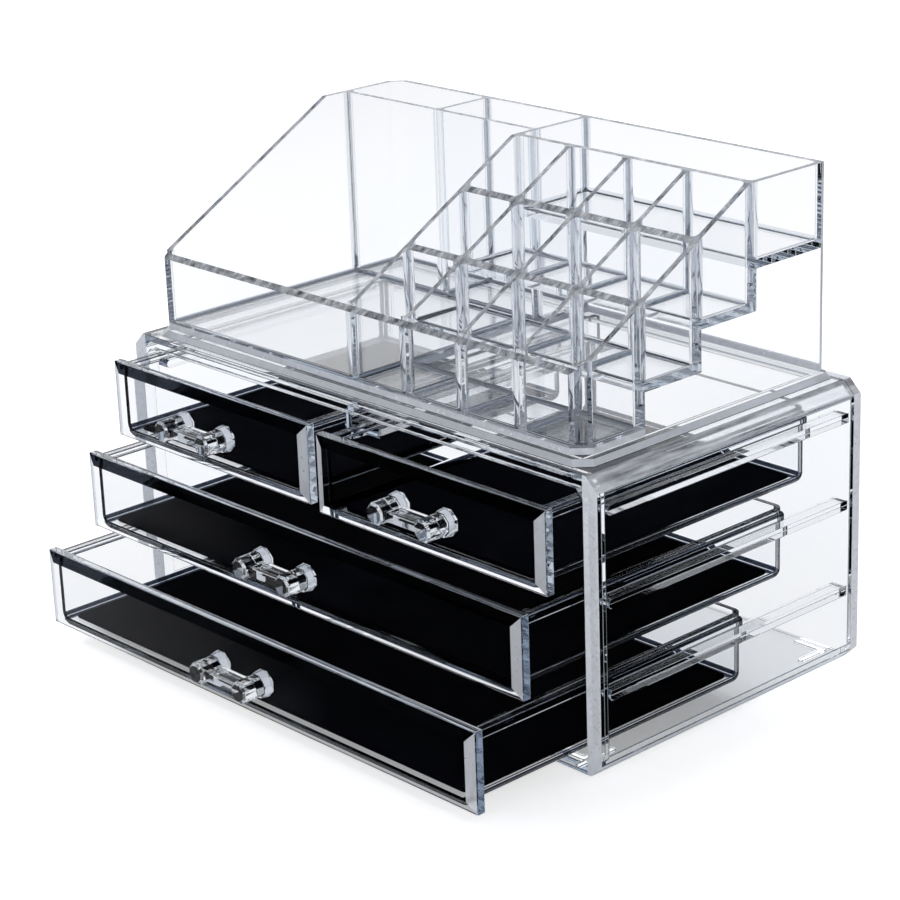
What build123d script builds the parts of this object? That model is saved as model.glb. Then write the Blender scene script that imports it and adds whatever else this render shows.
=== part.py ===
"""Clear acrylic make-up organizer: a four-drawer cabinet with a lift-off divided tray on top.

All sizes are in millimetres.  The shapes are drawn with y = 0 on the cabinet's front face, +Y towards
its back, x = 0 on its centre line and z = 0 on the surface that it stands on.  At the end every piece
is moved along Y, so that the origin is under the middle of the whole object.
"""
import os
from math import sqrt

from build123d import *

# ---------------------------------------------------------------- cabinet
cabinet_width = 240.0
cabinet_depth = 131.0
cabinet_height = 105.0
corner_cut = 5.0            # bevel along all four long edges
wall = 3.2
back_thickness = 3.8
foot_height = 1.2
foot_leg = 14.0
foot_width = 2.4
foot_corner_radius = 0.9
foot_inset_x = 12.0         # outer face of a foot to the cabinet's side
foot_inset_y = 4.0

frame_side = 6.5            # thickened border round the front opening
frame_top = 5.4
frame_bottom = 3.8
frame_depth = 5.0
opening_cut = 2.8           # bevel in the opening's corners

plateau_rise = 2.0          # raised seat for the tray
plateau_side = 10.0         # top of the plateau to the cabinet's side
plateau_front = 4.3
plateau_rear = 0.8
plateau_slope = 1.6         # how far its sides lean outwards
plateau_cut_front = 5.0
plateau_cut_rear = 2.5
plateau_edge = 5.0          # width of the solid border round the hollow underside

# ---------------------------------------------------------------- drawers
level_count = 3
level_pitch = 32.2
top_panel_top = 98.0        # above the cabinet's underside
panel_height = 29.1
panel_half_width = 114.3
panel_middle_gap = 8.2      # between the two top panels
panel_flat = 3.2            # square-edged part of the panel's thickness
bevel_depth = 1.3
bevel_inset = 4.0

drawer_length = 126.5
drawer_wall = 1.8
drawer_side_step = 4.3      # panel's end to the drawer's side wall
drawer_top_step = 1.0
drawer_bottom_step = 1.5
drawer_radius = 4.0
flange_side_step = 1.3      # panel's end to the flange's lip
flange_thickness = 1.6
lip_bottom_step = 4.2       # panel's top to the lip's lower edge
flange_edge_cut = 0.8

rail_gap = 0.2
rail_height = 3.2
rail_inner = 110.6          # rail's inner face, from the centre line
rail_front = 6.5
rail_rear_gap = 1.2
rail_end_radius = 1.4
hanger_web = 3.0
hanger_flange_half = 8.0
hanger_front = 0.8
hanger_front_radius = 1.2

# how far the back of each front panel stands in front of the cabinet
top_left_out = 11.0
top_right_out = 14.0
middle_out = 25.6
bottom_out = 47.0

liner_thickness = 1.0
liner_inset = 3.2
liner_end_inset = 2.4
liner_radius = 2.0

# ---------------------------------------------------------------- handles
post_spacing = 23.0
post_across = 7.5           # octagon, across its flats
post_length = 12.0
post_edge_cut = 0.8
collar_across = 9.2         # where it meets the panel
collar_length = 3.5
collar_taper = 7.0          # degrees, narrowing forwards
bridge_thickness = 3.4
bridge_length = 7.0
bridge_pocket_depth = 0.9
bridge_pocket_border = 1.5

# ---------------------------------------------------------------- tray
tray_width = 214.8
tray_depth = 119.5
tray_front = 6.3            # tray's front to the cabinet's front
tray_height = 73.6
tray_wall = 2.2
tray_floor = 2.3
tray_corner_cut = 5.4       # front right and rear left corners
tray_corner_break = 1.0     # the other two corners, nearly square
tray_inner_corner_cut = 3.2
tray_seat_gap = 0.1
front_wall_height = 26.9    # outer edge of the front wall's top
front_wall_inner_height = 28.5
slope_start_height = 29.7
slope_top_flat = 2.0        # upper end of the slope to the middle of the wall behind it
divider = 2.0
cross_wall = 2.6            # stepped walls between the rows of slots
slot_columns = 4
slot_rows = 3
slot_pitch_x = 27.35
slot_pitch_y = 27.3
step_rise = 14.7            # each row of slots stands this much higher
back_row_left_depth = 26.4  # depth of the two left compartments of the back row
back_partition_x = -55.0
pocket_radius = 2.0
through = 60.0              # how far a cutter runs past the face that it opens

# ---------------------------------------------------------------- worked out from the above
base_z = foot_height
shell_depth = cabinet_depth - back_thickness
half_width = cabinet_width / 2
inner_half = half_width - wall
ceiling_z = base_z + cabinet_height - wall
opening_half = half_width - frame_side
opening_top = base_z + cabinet_height - frame_top
opening_bottom = base_z + frame_bottom
plateau_top = base_z + cabinet_height + plateau_rise
hollow_half = half_width - plateau_side - plateau_edge
hollow_front = plateau_front + plateau_edge
hollow_rear = shell_depth - plateau_rear - plateau_edge
top_panel_half = (panel_half_width - panel_middle_gap / 2) / 2
top_panel_centre = (panel_half_width + panel_middle_gap / 2) / 2
panel_thickness = panel_flat + bevel_depth

DRAWERS = {
    # name: (centre x, half the panel's width, level from the top, how far it stands out)
    "top_left": (-top_panel_centre, top_panel_half, 0, top_left_out),
    "top_right": (top_panel_centre, top_panel_half, 0, top_right_out),
    "middle": (0.0, panel_half_width, 1, middle_out),
    "bottom": (0.0, panel_half_width, 2, bottom_out),
}

# The origin's y is half way between the foremost handle and the cabinet's back.
origin_y = (cabinet_depth - bottom_out - panel_thickness - post_length) / 2


def panel_top(level):
    """Height of the top edge of a level's front panels."""
    return base_z + top_panel_top - level * level_pitch


def block(x, y, z):
    """A box between the (low, high) pairs given for each axis."""
    spans = (x, y, z)
    middle = [(low + high) / 2 for low, high in spans]
    return Pos(*middle) * Box(*[high - low for low, high in spans])


def prism_y(outline, y_low, y_high):
    """An outline of (x, z) points, carried from y_low to y_high."""
    face = make_face(Polyline(*[(x, y_low, z) for x, z in outline], close=True))
    return extrude(face, amount=y_high - y_low, dir=(0, 1, 0))


def prism_x(outline, x_low, x_high):
    """An outline of (y, z) points, carried from x_low to x_high."""
    face = make_face(Polyline(*[(x_low, y, z) for y, z in outline], close=True))
    return extrude(face, amount=x_high - x_low, dir=(1, 0, 0))


def cut_cornered(low, high, cuts):
    """Corner points of a rectangle with bevelled corners; cuts start at the low-low corner and turn."""
    (x0, z0), (x1, z1) = low, high
    a, b, c, d = cuts
    points = [(x0, z0 + a), (x0 + a, z0), (x1 - b, z0), (x1, z0 + b)]
    points += [(x1, z1 - c), (x1 - c, z1), (x0 + d, z1), (x0, z1 - d)]
    return points


def cabinet_outline(inset=0.0):
    """The cabinet's front outline, or the same outline moved inwards by an even distance."""
    cut = corner_cut - inset * (2 - sqrt(2))
    low = (-half_width + inset, base_z + inset)
    high = (half_width - inset, base_z + cabinet_height - inset)
    return cut_cornered(low, high, (cut,) * 4)


def plateau_outline(grow, z):
    """Wire of the tray's seat at height z, grown sideways by the lean of its sides."""
    rear_grow = min(grow, plateau_rear)
    low = (-half_width + plateau_side - grow, plateau_front - grow)
    high = (half_width - plateau_side + grow, shell_depth - plateau_rear + rear_grow)
    cuts = (plateau_cut_front, plateau_cut_front, plateau_cut_rear, plateau_cut_rear)
    return Wire.make_polygon([(x, y, z) for x, y in cut_cornered(low, high, cuts)], close=True)


def corner_foot(side_x, side_y):
    """An L-shaped foot under one corner; the sides are -1 or 1."""
    outer_x = half_width - foot_inset_x
    outer_y = cabinet_depth / 2 - foot_inset_y
    leg_x = block((outer_x - foot_leg, outer_x), (outer_y - foot_width, outer_y), (0, foot_height))
    leg_y = block((outer_x - foot_width, outer_x), (outer_y - foot_leg, outer_y), (0, foot_height))
    foot = leg_x + leg_y
    foot = fillet(foot.edges().filter_by(Axis.Z), foot_corner_radius)
    if side_x < 0:
        foot = mirror(foot, Plane.YZ)
    if side_y < 0:
        foot = mirror(foot, Plane.XZ)
    return Pos(0, cabinet_depth / 2, 0) * foot


def rail_bar(x_low, x_high, top_z, rear_y):
    """A drawer rail with a rounded front end."""
    bar = block((x_low, x_high), (rail_front, rear_y), (top_z - rail_height, top_z))
    front_edges = bar.edges().filter_by(Axis.X).group_by(Axis.Y)[0]
    return fillet(front_edges, rail_end_radius)


def rail_top(level):
    """Height of the face that a level's drawer flanges slide on."""
    return panel_top(level) - lip_bottom_step - rail_gap


def make_cabinet_shell():
    """Top, bottom and sides in one moulding, open at the back, with the rails and the tray's seat."""
    shell = prism_y(cabinet_outline(), 0, shell_depth)
    shell -= prism_y(cabinet_outline(wall), frame_depth, shell_depth)
    low, high = (-opening_half, opening_bottom), (opening_half, opening_top)
    shell -= prism_y(cut_cornered(low, high, (opening_cut,) * 4), 0, frame_depth)
    seat_foot = base_z + cabinet_height
    outlines = [plateau_outline(plateau_slope, seat_foot), plateau_outline(0.0, plateau_top)]
    shell += Solid.make_loft(outlines, ruled=True)
    hollow_z = (ceiling_z, ceiling_z + plateau_rise)
    shell -= block((-hollow_half, hollow_half), (hollow_front, hollow_rear), hollow_z)
    for level in range(level_count):
        rear = shell_depth - rail_rear_gap
        shell += rail_bar(rail_inner, inner_half, rail_top(level), rear)
        shell += rail_bar(-inner_half, -rail_inner, rail_top(level), rear)
    for side_x in (-1, 1):
        for side_y in (-1, 1):
            shell += corner_foot(side_x, side_y)
    return shell


def make_cabinet_back():
    """The plate that closes the back."""
    return prism_y(cabinet_outline(), shell_depth, cabinet_depth)


def make_centre_hanger():
    """The T-shaped hanger under the top, whose flange carries the inner sides of the two top drawers."""
    rear = shell_depth - rail_rear_gap
    low = rail_top(0) - rail_height
    raised = ceiling_z + plateau_rise
    side_view = [
        (hanger_front, low),
        (hanger_front, opening_top),
        (frame_depth, opening_top),
        (frame_depth, ceiling_z),
        (hollow_front, ceiling_z),
        (hollow_front, raised),
        (hollow_rear, raised),
        (hollow_rear, ceiling_z),
        (rear, ceiling_z),
        (rear, low),
    ]
    web = prism_x(side_view, -hanger_web / 2, hanger_web / 2)
    front_edges = web.edges().filter_by(Axis.Z).group_by(Axis.Y)[0]
    web = fillet(front_edges, hanger_front_radius)
    return web + rail_bar(-hanger_flange_half, hanger_flange_half, rail_top(0), rear)


def drawer_box(half, y_low, y_high, z_low, z_high, radius):
    """A box open to the front, rounded along its bottom edges and its rear corners."""
    solid = block((-half, half), (y_low, y_high), (z_low, z_high))
    bottom = solid.edges().filter_by(Axis.Y).group_by(Axis.Z)[0]
    rear = solid.edges().group_by(Axis.Y)[-1]
    rear_rounded = rear.filter_by(Axis.Z) + rear.filter_by(Axis.X).group_by(Axis.Z)[0]
    return fillet(bottom + rear_rounded, radius)


def make_drawer_tray(half, top_z):
    """The drawer's floor, sides and back, with a flange along each side that hangs on the rails."""
    outer_half = half - drawer_side_step
    z_low = top_z - panel_height + drawer_bottom_step
    z_high = top_z - drawer_top_step
    tray = drawer_box(outer_half, 0, drawer_length, z_low, z_high, drawer_radius)
    inner_radius = drawer_radius - drawer_wall
    inner_rear = drawer_length - drawer_wall
    inner_half = outer_half - drawer_wall
    floor_z = z_low + drawer_wall
    hollow = drawer_box(inner_half, -through, inner_rear, floor_z, z_high + through, inner_radius)
    lip_outer = half - flange_side_step
    lip_inner = lip_outer - flange_thickness
    flange_view = [
        (outer_half, z_high - flange_thickness),
        (lip_inner, z_high - flange_thickness),
        (lip_inner, top_z - lip_bottom_step),
        (lip_outer, top_z - lip_bottom_step),
        (lip_outer, z_high - flange_edge_cut),
        (lip_outer - flange_edge_cut, z_high),
        (outer_half, z_high),
    ]
    flange = prism_y(flange_view, 0, drawer_length - drawer_radius)
    return tray - hollow + flange + mirror(flange, Plane.YZ)


def make_front_panel(half, top_z):
    """A thick plate whose front face is bevelled along all four edges."""
    low_z = top_z - panel_height
    plate = block((-half, half), (-panel_flat, 0), (low_z, top_z))
    outlines = []
    for inset, y in ((0.0, -panel_flat), (bevel_inset, -panel_thickness)):
        low, high = (-half + inset, low_z + inset), (half - inset, top_z - inset)
        corners = [(low[0], y, low[1]), (high[0], y, low[1]), (high[0], y, high[1]), (low[0], y, high[1])]
        outlines.append(Wire.make_polygon(corners, close=True))
    return plate + Solid.make_loft(outlines, ruled=True)


def octagon_bar(across, x, z, y_back, length, taper=0.0):
    """An octagonal bar that runs forwards from y_back, narrowing by the taper angle."""
    face = RegularPolygon(across / 2, 8, major_radius=False, rotation=22.5)
    plane = Plane(origin=(x, y_back, z), x_dir=(1, 0, 0), z_dir=(0, -1, 0))
    return extrude(plane * face, amount=length, taper=taper)


def make_handle(middle_z):
    """Two octagonal posts with flared collars against the panel, joined by a flat bridge with a pocket."""
    back = -panel_thickness
    reach = post_spacing / 2
    bridge_back = back - collar_length
    bridge_y = (bridge_back - bridge_length, bridge_back)
    bridge_z = (middle_z - bridge_thickness / 2, middle_z + bridge_thickness / 2)
    handle = block((-reach, reach), bridge_y, bridge_z)
    for x in (-reach, reach):
        post = octagon_bar(post_across, x, middle_z, back, post_length)
        front_edges = post.edges().group_by(Axis.Y)[0]
        handle += chamfer(front_edges, post_edge_cut)
        handle += octagon_bar(collar_across, x, middle_z, back, collar_length, collar_taper)
    pocket_half = reach - post_across / 2 - bridge_pocket_border
    pocket_y = (bridge_y[0] + bridge_pocket_border, bridge_y[1] - bridge_pocket_border)
    handle -= block((-pocket_half, pocket_half), pocket_y, (bridge_z[1] - bridge_pocket_depth, bridge_z[1]))
    return handle


def make_liner(half, top_z):
    """The thin black pad that lies loose on the drawer's floor."""
    floor_z = top_z - panel_height + drawer_bottom_step + drawer_wall
    pad_half = half - drawer_side_step - drawer_wall - liner_inset
    rear = drawer_length - drawer_wall - liner_end_inset
    pad = block((-pad_half, pad_half), (liner_end_inset, rear), (floor_z, floor_z + liner_thickness))
    return fillet(pad.edges().filter_by(Axis.Z), liner_radius)


def tray_block(plan, low_z, height):
    """An upright block on a (low, high, cut) plan, whose front right and rear left corners have that cut."""
    low, high, cut = plan
    cuts = (tray_corner_break, cut, tray_corner_break, cut)
    face = make_face(Polyline(*[(x, y, low_z) for x, y in cut_cornered(low, high, cuts)], close=True))
    return extrude(face, amount=height, dir=(0, 0, 1))


def rounded_pocket(x, y, floor_z):
    """Cutter for one compartment, from its floor up through the top."""
    cutter = block(x, y, (floor_z, floor_z + tray_height + through))
    return fillet(cutter.edges().filter_by(Axis.Z), pocket_radius)


def make_organizer_tray():
    """The divided tray: one deep bay, three tall compartments and stepped rows of slots."""
    low_z = plateau_top + tray_seat_gap
    high_z = low_z + tray_height
    half = tray_width / 2
    rear = tray_front + tray_depth
    inner_half = half - tray_wall
    inner_front = tray_front + tray_wall
    inner_rear = rear - tray_wall

    first_x = inner_half + divider / 2 - slot_columns * slot_pitch_x
    columns = [first_x + i * slot_pitch_x for i in range(slot_columns + 1)]
    first_y = inner_front - cross_wall / 2
    rows = [first_y + i * slot_pitch_y for i in range(slot_rows + 1)]
    floors = [low_z + i * step_rise for i in range(slot_rows + 1)]
    slope_top_y = rows[-1] - slope_top_flat

    outer_plan = ((-half, tray_front), (half, rear), tray_corner_cut)
    inner_plan = ((-inner_half, inner_front), (inner_half, inner_rear), tray_inner_corner_cut)
    tray = tray_block(outer_plan, low_z, tray_height)
    inside = tray_block(inner_plan, low_z, tray_height + through)

    above_walls = [
        (tray_front - through, low_z + front_wall_height),
        (tray_front, low_z + front_wall_height),
        (inner_front, low_z + front_wall_inner_height),
        (inner_front, low_z + slope_start_height),
        (slope_top_y, high_z),
        (slope_top_y, high_z + through),
        (tray_front - through, high_z + through),
    ]
    tray -= prism_x(above_walls, -half - through, half + through)

    back_left_front = rear - back_row_left_depth
    left_side_x = columns[0] - divider / 2
    bay_x = (-inner_half, left_side_x)
    tray -= inside & rounded_pocket(bay_x, (inner_front, back_left_front - divider), low_z + tray_floor)
    for x in ((-inner_half, back_partition_x - divider / 2), (back_partition_x + divider / 2, left_side_x)):
        tray -= inside & rounded_pocket(x, (back_left_front, inner_rear), low_z + tray_floor)

    for row in range(slot_rows):
        y = (rows[row] + cross_wall / 2, rows[row + 1] - cross_wall / 2)
        for column in range(slot_columns):
            x = (columns[column] + divider / 2, columns[column + 1] - divider / 2)
            tray -= inside & rounded_pocket(x, y, floors[row] + tray_floor)
    right_x = (columns[0] + divider / 2, inner_half)
    right_y = (rows[-1] + cross_wall / 2, inner_rear)
    tray -= inside & rounded_pocket(right_x, right_y, floors[-1] + tray_floor)

    for row in range(slot_rows):
        step_y = (rows[row + 1] + cross_wall / 2, inner_rear)
        tray -= block((right_x[0], half + through), step_y, (floors[row], floors[row + 1]))
    return tray


def finish_piece(solid, name, x=0.0, y=0.0):
    """Put a piece in its place and write it to its own file."""
    placed = Pos(x, y - origin_y, 0) * solid
    placed.label = name
    export_step(placed, f"parts/{name}.step")


def main():
    os.makedirs("parts", exist_ok=True)
    finish_piece(make_cabinet_shell(), "cabinet_shell")
    finish_piece(make_cabinet_back(), "cabinet_back")
    finish_piece(make_centre_hanger(), "centre_hanger")
    for name, (centre_x, half, level, out) in DRAWERS.items():
        top_z = panel_top(level)
        middle_z = top_z - panel_height / 2
        finish_piece(make_drawer_tray(half, top_z), f"drawer_tray_{name}", centre_x, -out)
        finish_piece(make_front_panel(half, top_z), f"front_panel_{name}", centre_x, -out)
        finish_piece(make_handle(middle_z), f"handle_{name}", centre_x, -out)
        finish_piece(make_liner(half, top_z), f"liner_{name}", centre_x, -out)
    finish_piece(make_organizer_tray(), "organizer_tray")


main()
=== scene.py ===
import math

import bmesh
import bpy
from mathutils import Matrix, Vector


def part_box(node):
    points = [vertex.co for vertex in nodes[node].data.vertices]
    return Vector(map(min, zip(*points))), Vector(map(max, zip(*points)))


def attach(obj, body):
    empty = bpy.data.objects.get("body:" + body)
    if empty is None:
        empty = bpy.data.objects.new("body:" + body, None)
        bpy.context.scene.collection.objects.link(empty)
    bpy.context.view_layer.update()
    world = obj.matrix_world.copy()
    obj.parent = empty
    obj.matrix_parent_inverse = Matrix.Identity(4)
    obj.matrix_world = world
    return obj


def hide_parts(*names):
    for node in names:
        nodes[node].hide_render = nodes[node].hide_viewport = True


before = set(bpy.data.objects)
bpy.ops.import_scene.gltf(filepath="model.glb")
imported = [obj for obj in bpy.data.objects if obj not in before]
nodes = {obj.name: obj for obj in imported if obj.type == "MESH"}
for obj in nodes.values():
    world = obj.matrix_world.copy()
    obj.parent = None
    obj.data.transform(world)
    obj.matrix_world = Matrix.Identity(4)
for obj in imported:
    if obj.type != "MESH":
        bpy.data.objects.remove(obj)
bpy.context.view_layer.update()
scene = bpy.context.scene
MM = 0.001

DRAWERS = ("top_left", "top_right", "middle", "bottom")

# ---------------------------------------------------------------- camera, where the photograph was taken from
azimuth = math.radians(47.59)
elevation = math.radians(19.83)
roll = math.radians(2.14)
distance = 0.9648
focal_px = 2705.0
frame_px = 900
sensor_width_mm = 36.0
camera_reach = 20.0
axis_right = 0.03246          # the camera's axis passes the middle of the cabinet's front edge this far to
axis_up = 0.08099             # its right and above it

# ---------------------------------------------------------------- acrylic, clear
refraction = 1.49
absorption_colour = (0.40, 0.50, 0.62, 1.0)
absorption_density = 9.0      # per metre
CLEAR_TONES = ((0.985, 0.987, 0.990), (1.0, 1.0, 1.0))
shadow_tone = (0.93, 0.94, 0.95)
tone_scale = 9.0              # scales are repeats per metre
polish_scale = 60.0
polish_most = 0.022
wave_scale = 22.0
grain_scale = 900.0
grain_height = 0.0003 * MM

# ---------------------------------------------------------------- acrylic, satin
SATIN_ROUGHNESS = (0.28, 0.42)
SATIN_TONES = ((0.80, 0.85, 0.91), (0.86, 0.91, 0.97))
MILK = ((0.83, 0.85, 0.90), (0.93, 0.95, 1.0))
MOTTLED_MILK = ((0.50, 0.52, 0.56), (0.98, 0.99, 1.0))
satin_scale = 700.0
satin_tone_scale = 150.0
frost_scale = 420.0
streak_scale = 320.0
streak_squeeze = 0.12         # streaks run along the depth

# how satin each sawn or tool-marked face is
border_satin = 0.9
bevel_satin = 0.7
bevel_least_streak = 0.2
seat_satin = 0.6
rim_satin = 0.9
tray_rim_satin = 0.7
tray_end_satin = 0.6

# widths of those faces, as in the solids, and how near a point is to a face to lie on it
front_border = 6.5 * MM
long_bevel = 5.0 * MM
tray_wall = 2.2 * MM
tray_floor = 2.3 * MM
skin = 0.1 * MM

# how far a face's own normal leans, as a share of 1
level = 0.99
nearly_level = 0.95
upright = 0.5
along_axis = 0.995
DIAGONAL = (0.7069, 0.7073)
PANEL_BEVEL = (0.2, 0.5)

# ---------------------------------------------------------------- edges
# breaks that catch the light, and hair gaps that keep bonded pieces' faces apart
shell_break = 0.35 * MM
drawer_break = 0.25 * MM
panel_break = 0.3 * MM
handle_break = 0.25 * MM
break_steps = 2
bond_gap = 0.03 * MM
pocket_bottom_radius = 1.5 * MM
pocket_steps = 4
mend_distance = 0.002 * MM
flat_below = math.radians(0.5)
sharp_above = math.radians(30.0)
polished_smooth = math.radians(14.0)
tray_smooth = math.radians(25.0)
felt_smooth = math.radians(46.0)

# ---------------------------------------------------------------- felt
FELT_TONES = ((0.0016, 0.0018, 0.0032), (0.004, 0.0042, 0.0065))
fibre_scale = 2600.0
fluff_scale = 45.0
fibre_height = 0.2 * MM
felt_gloss = 0.02
felt_lift = 0.05 * MM
felt_corner = 2.0 * MM
felt_edge = 0.3 * MM
felt_turns = 8

# ---------------------------------------------------------------- floor and light
PAPER_TONES = ((0.79, 0.79, 0.795), (0.81, 0.81, 0.81))
paper_scale = 300.0
paper_height = 0.05 * MM
floor_reach = 6.0
floor_lift_seen = 0.62        # added white where the camera looks at the floor
floor_lift_in_acrylic = 0.34  # and where the acrylic shows it
LAMPS = (                     # name, place, size, watts
    ("overhead", (-0.3, 0.5, 1.3), (0.7, 0.5), 9.0),
    ("front", (0.75, -1.2, 0.5), (0.8, 0.8), 3.0),
)
lamp_aim = (0.0, 0.0, 0.05)
SKY = (                       # height of the direction, colour
    (0.0, (1.0, 1.0, 1.0)),
    (0.38, (0.93, 0.93, 0.94)),
    (0.58, (0.33, 0.35, 0.39)),
    (1.0, (0.16, 0.17, 0.20)),
)
light_bounces = 32            # long paths inside the acrylic


def make_camera():
    """The camera of the photograph."""
    flat = math.cos(elevation)
    back = Vector((math.sin(azimuth) * flat, -math.cos(azimuth) * flat, math.sin(elevation)))
    level_right = Vector((math.cos(azimuth), math.sin(azimuth), 0.0))
    level_up = back.cross(level_right)
    right = level_right * math.cos(roll) - level_up * math.sin(roll)
    up = level_right * math.sin(roll) + level_up * math.cos(roll)
    data = bpy.data.cameras.new("camera")
    data.sensor_width = sensor_width_mm
    data.lens = focal_px / frame_px * sensor_width_mm
    data.clip_end = camera_reach
    camera = bpy.data.objects.new("camera", data)
    scene.collection.objects.link(camera)
    foot = Vector((0.0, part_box("cabinet_shell")[0].y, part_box("cabinet_back")[0].z))
    place = foot + right * axis_right + up * axis_up + back * distance
    camera.matrix_world = Matrix.Translation(place) @ Matrix((right, up, back)).transposed().to_4x4()
    scene.camera = camera


# ---------------------------------------------------------------- materials
class Nodes:
    """Short hand for building one material's nodes."""

    def __init__(self, name):
        self.material = bpy.data.materials.new(name)
        self.material.use_nodes = True
        self.tree = self.material.node_tree
        self.shader = self.tree.nodes["Principled BSDF"]
        self.output = self.tree.nodes["Material Output"]
        self.place = self.add("ShaderNodeTexCoord").outputs["Object"]

    def add(self, kind, **inputs):
        node = self.tree.nodes.new(kind)
        for key, value in inputs.items():
            self.put(node, key.replace("_", " "), value)
        return node

    def put(self, node, socket, value):
        """Link a socket, or set it to a number or a colour."""
        if isinstance(value, bpy.types.NodeSocket):
            self.tree.links.new(value, node.inputs[socket])
        elif isinstance(value, tuple) and len(value) == 3:
            node.inputs[socket].default_value = (*value, 1.0)
        else:
            node.inputs[socket].default_value = value

    def noise(self, scale, detail=2.0, roughness=0.5, vector=None):
        node = self.add("ShaderNodeTexNoise", Scale=scale, Detail=detail, Roughness=roughness)
        self.put(node, "Vector", vector or self.place)
        return node.outputs["Fac"]

    def spread(self, value, low, high):
        """A value from 0.3 to 0.7, as noise mostly is, carried to low..high."""
        node = self.add("ShaderNodeMapRange", Value=value, From_Min=0.3, From_Max=0.7, To_Min=low, To_Max=high)
        return node.outputs["Result"]

    def blend(self, fac, low, high):
        """A colour between two."""
        node = self.tree.nodes.new("ShaderNodeMix")
        node.data_type = "RGBA"
        self.put(node, 0, fac)
        self.put(node, 6, low)
        self.put(node, 7, high)
        return node.outputs[2]

    def between(self, fac, low, high):
        """A number between two."""
        node = self.tree.nodes.new("ShaderNodeMix")
        self.put(node, 0, fac)
        self.put(node, 2, low)
        self.put(node, 3, high)
        return node.outputs[0]

    def math(self, operation, first, second=None):
        node = self.tree.nodes.new("ShaderNodeMath")
        node.operation = operation
        self.put(node, 0, first)
        if second is not None:
            self.put(node, 1, second)
        return node.outputs["Value"]

    def both(self, first, second):
        return self.math("MULTIPLY", first, second)

    def either(self, first, *others):
        for other in others:
            first = self.math("MAXIMUM", first, other)
        return first

    def above(self, value, edge):
        return self.math("GREATER_THAN", value, edge)

    def below(self, value, edge):
        return self.math("LESS_THAN", value, edge)

    def within(self, value, limits):
        return self.both(self.above(value, limits[0]), self.below(value, limits[1]))

    def parts(self, vector):
        outputs = self.add("ShaderNodeSeparateXYZ", Vector=vector).outputs
        return outputs["X"], outputs["Y"], outputs["Z"]

    def rise(self):
        """How far the face's own normal points up: 1 on a floor, -1 on a ceiling."""
        return self.parts(self.add("ShaderNodeNewGeometry").outputs["True Normal"])[2]

    def slant(self):
        """How far the face's own normal points along X, Y and Z, each from 0 to 1."""
        size = self.tree.nodes.new("ShaderNodeVectorMath")
        size.operation = "ABSOLUTE"
        self.put(size, 0, self.add("ShaderNodeNewGeometry").outputs["True Normal"])
        return self.parts(size.outputs[0])

    def streaks(self, least):
        """A share from least to 1, in streaks along the cabinet's depth."""
        squeeze = self.tree.nodes.new("ShaderNodeVectorMath")
        squeeze.operation = "MULTIPLY"
        self.put(squeeze, 0, self.place)
        squeeze.inputs[1].default_value = (1.0, streak_squeeze, 1.0)
        noise = self.noise(streak_scale, detail=3.0, roughness=0.6, vector=squeeze.outputs[0])
        return self.spread(noise, least, 1.0)

    def bump(self, height, distance, below=None):
        node = self.add("ShaderNodeBump", Height=height, Distance=distance)
        if below:
            self.put(node, "Normal", below)
        return node.outputs["Normal"]

    def mix(self, fac, first, second):
        """A blend of two shaders."""
        node = self.tree.nodes.new("ShaderNodeMixShader")
        for key, value in enumerate((fac, first, second)):
            self.put(node, key, value)
        return node.outputs[0]

    def shade(self, **inputs):
        for key, value in inputs.items():
            self.put(self.shader, key.replace("_", " "), value)


# the edge roundings, which acrylic() gives painted shade: a darker see-through tint on these faces
def roundings(m):
    """Faces that lean between the axes, but for the plain 45 degree corners."""
    most = m.either(*m.slant())
    diagonal = m.within(most, DIAGONAL)
    return m.both(m.below(most, along_axis), m.math("SUBTRACT", 1.0, diagonal))


# the panels' top bevels, which get a near-black painted shade
def panel_top_bevel(m):
    return m.within(m.rise(), PANEL_BEVEL)


def panel_end_bevels(m):
    return m.within(m.slant()[0], PANEL_BEVEL)


def everywhere(m):
    return 1.0


def cabinet_sawn(m):
    """How satin the front border's uprights, the long bevels, the seat's sides and the back plate's rim are."""
    low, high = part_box("cabinet_back")
    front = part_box("cabinet_shell")[0].y
    x, y, z = m.parts(m.place)
    side = m.math("ABSOLUTE", x)
    uprights = m.both(m.above(side, high.x - front_border), m.below(y, front + skin))
    upper = m.above(m.math("ADD", side, z), high.x + high.z - long_bevel - skin / 2)
    lower = m.above(m.math("SUBTRACT", side, z), high.x - low.z - long_bevel - skin / 2)
    bevels = m.both(m.either(upper, lower), m.streaks(bevel_least_streak))
    seat = m.both(m.above(z, high.z + skin), m.below(m.slant()[2], nearly_level))
    edge = m.either(m.above(side, high.x - 3 * skin), m.above(z, high.z - 3 * skin))
    rim = m.both(m.above(y, low.y + skin), m.both(edge, m.below(z, high.z + skin)))
    faces = ((uprights, border_satin), (bevels, bevel_satin), (seat, seat_satin), (rim, rim_satin))
    return m.either(*[m.both(mask, satin) for mask, satin in faces])


def tray_sawn(m):
    """How satin the tray's lower edge and the ends of its back wall are."""
    low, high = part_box("organizer_tray")
    x, y, z = m.parts(m.place)
    rim = m.both(m.below(m.slant()[2], upright), m.below(z, low.z + tray_floor))
    ends = m.both(m.above(m.math("ABSOLUTE", x), high.x - skin), m.above(y, high.y - tray_wall))
    return m.either(m.both(rim, tray_rim_satin), m.both(ends, tray_end_satin))


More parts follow.
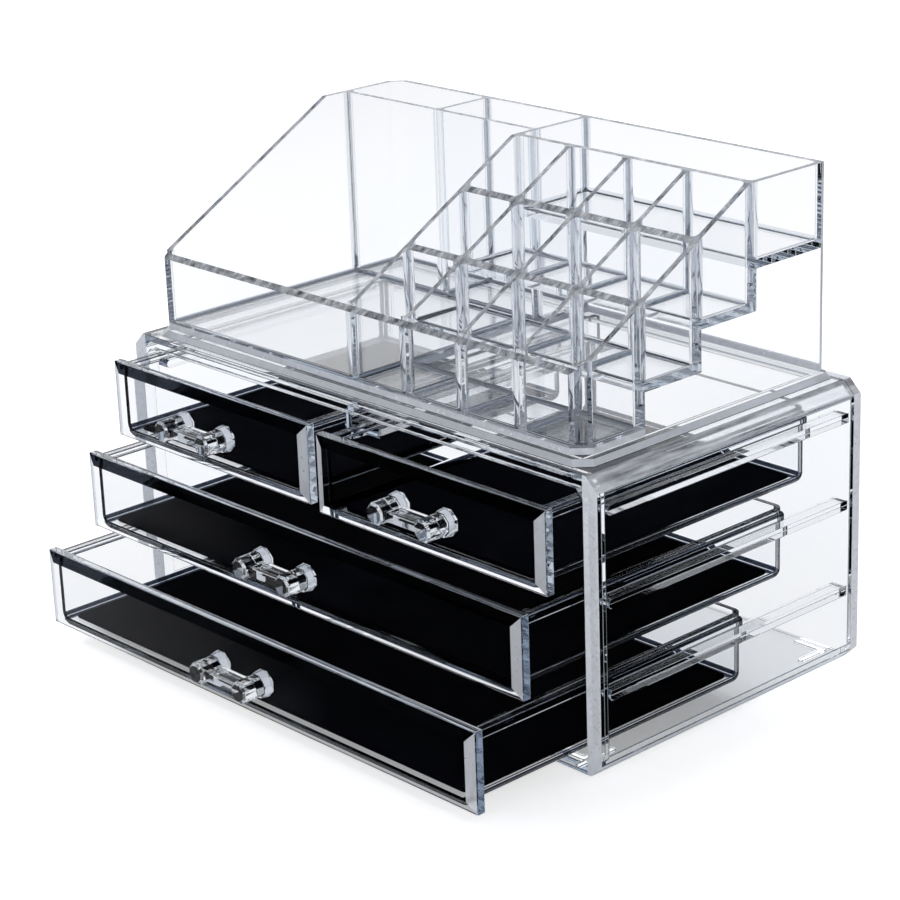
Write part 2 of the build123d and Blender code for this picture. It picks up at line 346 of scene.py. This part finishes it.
def acrylic(
    name, wave=0.03 * MM, veil=0.068, painted_shade_mask=None, painted_shade_tint=(0.45, 0.48, 0.52), sawn=None, haze=1.0, milk=MILK,
    mottle=0.9,
):
    """Clear moulded acrylic: grey-blue through its length, faintly wavy, with slightly uneven polish.

    The shade mask and its tint paint shade: the faces the mask picks let through that darker tint, painted
    shade standing in for the unlit part of the room they look into.  sawn says how satin each face
    is: haze is how milky a wholly satin face is, and mottle the least of it that patches and streaks leave.
    veil is the share of the mirror image that upright faces lose."""
    m = Nodes(name)
    tint = m.blend(m.spread(m.noise(tone_scale), 0.0, 1.0), *CLEAR_TONES)
    polish = m.spread(m.noise(polish_scale, detail=3.0), 0.0, polish_most)
    # painted shade: faces under the shade mask let a darker tint through
    if painted_shade_mask:
        tint = m.blend(painted_shade_mask(m), tint, painted_shade_tint)
    if sawn:
        mask = m.both(sawn(m), m.streaks(mottle))
        polish = m.between(mask, polish, m.spread(m.noise(satin_scale, detail=3.0), *SATIN_ROUGHNESS))
        cast = m.blend(m.spread(m.noise(satin_tone_scale, detail=4.0), 0.0, 1.0), *SATIN_TONES)
        tint = m.blend(mask, tint, cast)
    surface = m.bump(m.noise(wave_scale, detail=1.0), wave)
    surface = m.bump(m.noise(grain_scale, detail=1.0), grain_height, surface)

    bend = m.add("ShaderNodeBsdfRefraction", IOR=refraction, Color=tint, Roughness=polish, Normal=surface)
    mirror = m.add("ShaderNodeBsdfGlossy", Color=(1.0, 1.0, 1.0), Roughness=polish, Normal=surface)
    share = m.add("ShaderNodeFresnel", IOR=refraction, Normal=surface).outputs[0]
    lost = m.both(m.below(m.slant()[2], level), veil)
    power = m.add("ShaderNodeMapRange", Value=share, From_Min=lost).outputs[0]
    body = m.mix(power, bend.outputs[0], mirror.outputs[0])
    if sawn:
        frost = m.spread(m.noise(frost_scale, detail=5.0, roughness=0.65), 0.0, 1.0)
        satin = m.add("ShaderNodeBsdfDiffuse", Color=m.blend(frost, *milk), Normal=surface)
        body = m.mix(m.both(mask, haze), body, satin.outputs[0])
    shadow = m.add("ShaderNodeBsdfTransparent", Color=shadow_tone)
    in_shadow = m.add("ShaderNodeLightPath").outputs["Is Shadow Ray"]
    m.put(m.output, "Surface", m.mix(in_shadow, body, shadow.outputs[0]))

    inside = m.add("ShaderNodeVolumeAbsorption")
    inside.inputs["Color"].default_value = absorption_colour
    inside.inputs["Density"].default_value = absorption_density
    m.put(m.output, "Volume", inside.outputs["Volume"])
    m.tree.nodes.remove(m.shader)
    return m.material


def felt(name):
    """Black needle felt: fine fibres and a little fluff."""
    m = Nodes(name)
    fibres = m.noise(fibre_scale, detail=4.0, roughness=0.7)
    fluff = m.spread(m.noise(fluff_scale, detail=3.0), 0.0, 1.0)
    m.shade(Base_Color=m.blend(fluff, *FELT_TONES))
    m.shade(Roughness=m.spread(fibres, 0.85, 1.0), Normal=m.bump(fibres, fibre_height))
    m.shade(Specular_IOR_Level=felt_gloss)
    return m.material


def paper(name):
    """The pale floor: white for the camera and for what acrylic shows, with the object's shadow kept."""
    m = Nodes(name)
    grain = m.noise(paper_scale, detail=4.0)
    path = m.add("ShaderNodeLightPath").outputs
    seen = m.both(path["Is Camera Ray"], floor_lift_seen)
    shown = m.both(m.either(path["Is Glossy Ray"], path["Is Transmission Ray"]), floor_lift_in_acrylic)
    m.shade(Base_Color=m.blend(m.spread(grain, 0.0, 1.0), *PAPER_TONES))
    m.shade(Roughness=1.0, Specular_IOR_Level=0.0, Normal=m.bump(grain, paper_height))
    m.shade(Emission_Color=(1.0, 1.0, 1.0), Emission_Strength=m.either(seen, shown))
    return m.material


# ---------------------------------------------------------------- polished copies of the CAD solids
def loops(edges):
    """The edges in groups that share no corner."""
    left = set(edges)
    groups = []
    while left:
        group = [left.pop()]
        for edge in group:
            for vert in edge.verts:
                for near in vert.link_edges:
                    if near in left:
                        left.discard(near)
                        group.append(near)
        groups.append(group)
    return groups


def soften(work, edges, width, steps):
    """Round a group of edges."""
    bmesh.ops.bevel(
        work, geom=edges, offset=width, offset_type="OFFSET", segments=steps, profile=0.5, affect="EDGES",
        clamp_overlap=True,
    )


def copy_of(node):
    """A CAD solid's mesh, its corners joined, to be worked on."""
    work = bmesh.new()
    work.from_mesh(nodes[node].data)
    bmesh.ops.remove_doubles(work, verts=work.verts, dist=mend_distance)
    return work


def corner_normals(work, smooth):
    """One normal for each face corner: the faces there that lie within the angle, weighed by their area."""
    work.normal_update()
    least = math.cos(smooth)
    normals = []
    for face in work.faces:
        for vert in face.verts:
            total = Vector()
            for near in vert.link_faces:
                if near.normal.dot(face.normal) > least:
                    total += near.normal * near.calc_area()
            normals.append(total.normalized() if total.length > 0.0 else face.normal.copy())
    return normals


def finish(work, name, node, body, materials, smooth):
    """Turn the worked mesh into a piece that takes a CAD solid's place."""
    mesh = bpy.data.meshes.new(name)
    normals = corner_normals(work, smooth)
    work.to_mesh(mesh)
    work.free()
    for material in materials:
        mesh.materials.append(material)
    mesh.polygons.foreach_set("use_smooth", [True] * len(mesh.polygons))
    mesh.normals_split_custom_set(normals)
    piece = bpy.data.objects.new(name, mesh)
    scene.collection.objects.link(piece)
    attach(piece, body)
    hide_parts(node)
    return piece


def polished(node, body, width, material, shift=(0.0, 0.0, 0.0)):
    """A copy of a CAD solid whose sharp edges are broken by a narrow bevel, which catches the light."""
    work = copy_of(node)
    bmesh.ops.dissolve_limit(work, angle_limit=flat_below, verts=work.verts, edges=work.edges)
    sharp = [e for e in work.edges if e.is_manifold and e.calc_face_angle(0.0) > sharp_above]
    for group in loops(sharp):
        soften(work, group, width, break_steps)
    bmesh.ops.translate(work, verts=work.verts, vec=shift)
    for face in work.faces:
        face.material_index = 0
    finish(work, node + "_polished", node, body, [material], polished_smooth)


def polished_tray(clear, satin):
    """The tray with rounded pocket bottoms and satin tops to its walls."""
    node = "organizer_tray"
    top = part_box(node)[1].z
    work = copy_of(node)

    def is_floor(face):
        return face.normal.z > 0.999 and face.calc_center_median().z < top - MM

    def is_plain(face):
        return abs(face.normal.z) < 0.02 or face.normal.z < -0.999 or is_floor(face)

    for face in work.faces:
        face.material_index = int(face.normal.z > 0.5 and not is_floor(face))
    inner = [e for e in work.edges if e.is_manifold and e.calc_face_angle(0.0) < flat_below]
    inner = [e for e in inner if all(is_plain(face) for face in e.link_faces)]
    bmesh.ops.dissolve_edges(work, edges=inner, use_verts=False, use_face_split=False)
    for edges in [list(face.edges) for face in work.faces if is_floor(face)]:
        soften(work, edges, pocket_bottom_radius, pocket_steps)
    finish(work, node + "_polished", node, "organizer", [clear, satin], tray_smooth)


def liner(drawer, material):
    """A felt pad cut to the drawer's floor, with rounded corners and a soft edge."""
    node = "liner_" + drawer
    low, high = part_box(node)
    low, high = low + Vector((0, 0, felt_lift)), high + Vector((0, 0, felt_lift))
    outline = []
    corners = ((low.x, low.y, 1, 1), (high.x, low.y, -1, 1), (high.x, high.y, -1, -1), (low.x, high.y, 1, -1))
    for k, (x, y, inward_x, inward_y) in enumerate(corners):
        centre = Vector((x + inward_x * felt_corner, y + inward_y * felt_corner))
        for i in range(felt_turns + 1):
            angle = math.radians(180 + 90 * k + 90 * i / felt_turns)
            outline.append((centre, Vector((math.cos(angle), math.sin(angle)))))
    work = bmesh.new()
    rings = []
    sections = ((felt_edge, low.z), (0.0, low.z + felt_edge), (0.0, high.z - felt_edge), (felt_edge, high.z))
    for inset, z in sections:
        rings.append([work.verts.new((*(c + d * (felt_corner - inset)), z)) for c, d in outline])
    for lower, upper in zip(rings, rings[1:]):
        for i in range(len(lower)):
            j = (i + 1) % len(lower)
            work.faces.new((lower[i], lower[j], upper[j], upper[i]))
    work.faces.new(list(reversed(rings[0])))
    work.faces.new(rings[-1])
    piece = finish(work, node + "_felt", node, "drawer_" + drawer, [material], felt_smooth)


# ---------------------------------------------------------------- floor and light
def make_floor():
    r = floor_reach
    mesh = bpy.data.meshes.new("floor")
    mesh.from_pydata([(-r, -r, 0), (r, -r, 0), (r, r, 0), (-r, r, 0)], [], [(0, 1, 2, 3)])
    mesh.materials.append(paper("floor_paper"))
    floor = bpy.data.objects.new("floor", mesh)
    scene.collection.objects.link(floor)


def softbox(name, place, size, watts):
    """A soft lamp that lights satin faces, felt and floor, and isn't seen as a patch in the clear faces."""
    data = bpy.data.lights.new(name, "AREA")
    data.shape = "RECTANGLE"
    data.size, data.size_y = size
    data.energy = watts
    lamp = bpy.data.objects.new(name, data)
    scene.collection.objects.link(lamp)
    lamp.location = place
    lamp.visible_glossy = False
    lamp.visible_transmission = False
    lamp.rotation_euler = (Vector(place) - Vector(lamp_aim)).to_track_quat("Z", "Y").to_euler()


def make_sky():
    """A white wall round the object under a darker ceiling, which draws the acrylic's edges."""
    world = bpy.data.worlds.new("studio")
    world.use_nodes = True
    tree = world.node_tree
    place = tree.nodes.new("ShaderNodeTexCoord")
    parts = tree.nodes.new("ShaderNodeSeparateXYZ")
    ramp = tree.nodes.new("ShaderNodeValToRGB")
    tree.links.new(place.outputs["Generated"], parts.inputs[0])
    tree.links.new(parts.outputs["Z"], ramp.inputs[0])
    tree.links.new(ramp.outputs["Color"], tree.nodes["Background"].inputs["Color"])
    tones = ramp.color_ramp.elements
    while len(tones) < len(SKY):
        tones.new(0.5)
    for tone, (height, colour) in zip(tones, SKY):
        tone.position = height
        tone.color = (*colour, 1.0)
    scene.world = world


# ---------------------------------------------------------------- the object
# painted shade: the rounded edges of shell, tray, drawers and handles let through a darker tint, greyest on the
# drawers
cabinet_acrylic = acrylic("cabinet_acrylic", painted_shade_mask=roundings, sawn=cabinet_sawn)
tray_acrylic = acrylic(
    "tray_acrylic", wave=0.04 * MM, veil=0.053, painted_shade_mask=roundings, painted_shade_tint=(0.80, 0.82, 0.85), sawn=tray_sawn,
)
tray_tops = acrylic("tray_tops", sawn=everywhere, haze=0.75, milk=MOTTLED_MILK, mottle=0.1)
drawer_acrylic = acrylic("drawer_acrylic", painted_shade_mask=roundings, painted_shade_tint=(0.16, 0.18, 0.22))
# painted shade: the panels' top bevels let through a near-black tint
panel_acrylic = acrylic(
    "panel_acrylic", painted_shade_mask=panel_top_bevel, painted_shade_tint=(0.030, 0.035, 0.045), sawn=panel_end_bevels, haze=0.55,
)
crystal = acrylic("crystal", wave=0.02 * MM, veil=0.053, painted_shade_mask=roundings, painted_shade_tint=(0.78, 0.80, 0.83))
black_felt = felt("black_felt")

polished("cabinet_shell", "cabinet", shell_break, cabinet_acrylic)
polished("cabinet_back", "cabinet", shell_break, cabinet_acrylic, (0, bond_gap, 0))
polished("centre_hanger", "cabinet", shell_break, cabinet_acrylic, (0, -bond_gap, -bond_gap))
polished_tray(tray_acrylic, tray_tops)
for drawer in DRAWERS:
    body = "drawer_" + drawer
    polished("drawer_tray_" + drawer, body, drawer_break, drawer_acrylic)
    polished("front_panel_" + drawer, body, panel_break, panel_acrylic, (0, -bond_gap, 0))
    polished("handle_" + drawer, body, handle_break, crystal, (0, -2 * bond_gap, 0))
    liner(drawer, black_felt)

make_floor()
for lamp in LAMPS:
    softbox(*lamp)
make_sky()
make_camera()
scene.cycles.max_bounces = light_bounces
scene.cycles.transmission_bounces = light_bounces
scene.cycles.glossy_bounces = light_bounces
scene.view_settings.view_transform = "Standard"
